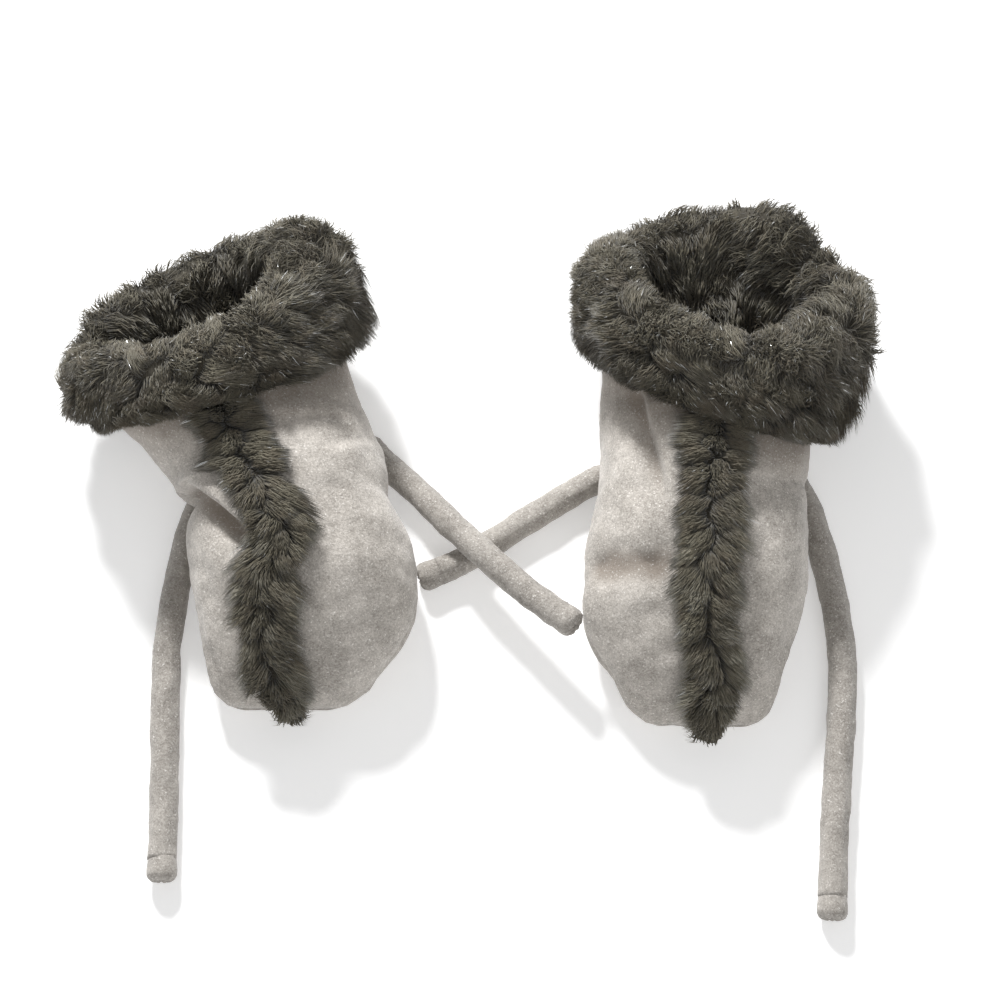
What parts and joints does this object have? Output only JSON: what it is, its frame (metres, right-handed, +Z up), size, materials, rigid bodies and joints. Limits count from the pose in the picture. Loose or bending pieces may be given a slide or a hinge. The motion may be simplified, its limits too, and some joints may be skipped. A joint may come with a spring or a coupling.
{
  "type": "ski mitten",
  "caption": "Padded thumbless mitts with a folded pile cuff, a pile strip along the back and stuffed suede wrist ties, laid palm down side by side.",
  "frame": {"origin": "middle of the two mitts' footprint on the surface they lie on, without the free ties", "axes": "+Z up, tips of the mitts towards -Y, mouths towards +Y, +X to the right seen from the tips"},
  "size_m": [0.2274, 0.1988, 0.058],
  "materials": {
    "suede": "napped glitter suede",
    "fur": "long pile faux fur",
    "lining": "short pile fleece",
    "wadding": "needled wadding",
    "tie_suede": "napped glitter suede tube"
  },
  "bodies": {
    "right_mitt": {"right_back_outer_panel": "suede", "right_back_inner_panel": "suede", "right_palm_panel": "suede", "right_back_fur_strip": "fur", "right_fur_cuff": "fur", "right_lining_back": "lining", "right_lining_palm": "lining", "right_wadding_back": "wadding", "right_wadding_palm": "wadding", "right_tie_tack": "tie_suede", "right_tie_outer": "tie_suede", "right_tie_inner": "tie_suede", "right_tie_outer_end": "tie_suede", "right_tie_inner_end": "tie_suede"},
    "left_mitt": {"left_back_outer_panel": "suede", "left_back_inner_panel": "suede", "left_palm_panel": "suede", "left_back_fur_strip": "fur", "left_fur_cuff": "fur", "left_lining_back": "lining", "left_lining_palm": "lining", "left_wadding_back": "wadding", "left_wadding_palm": "wadding", "left_tie_tack": "tie_suede", "left_tie_outer": "tie_suede", "left_tie_inner": "tie_suede", "left_tie_outer_end": "tie_suede", "left_tie_inner_end": "tie_suede"}
  },
  "joints": [
    {"name": "left_mitt_lift", "type": "slide", "parent": "right_mitt", "child": "left_mitt", "axis": [0, 0, 1], "range_m": [0, 0.12]}
  ]
}
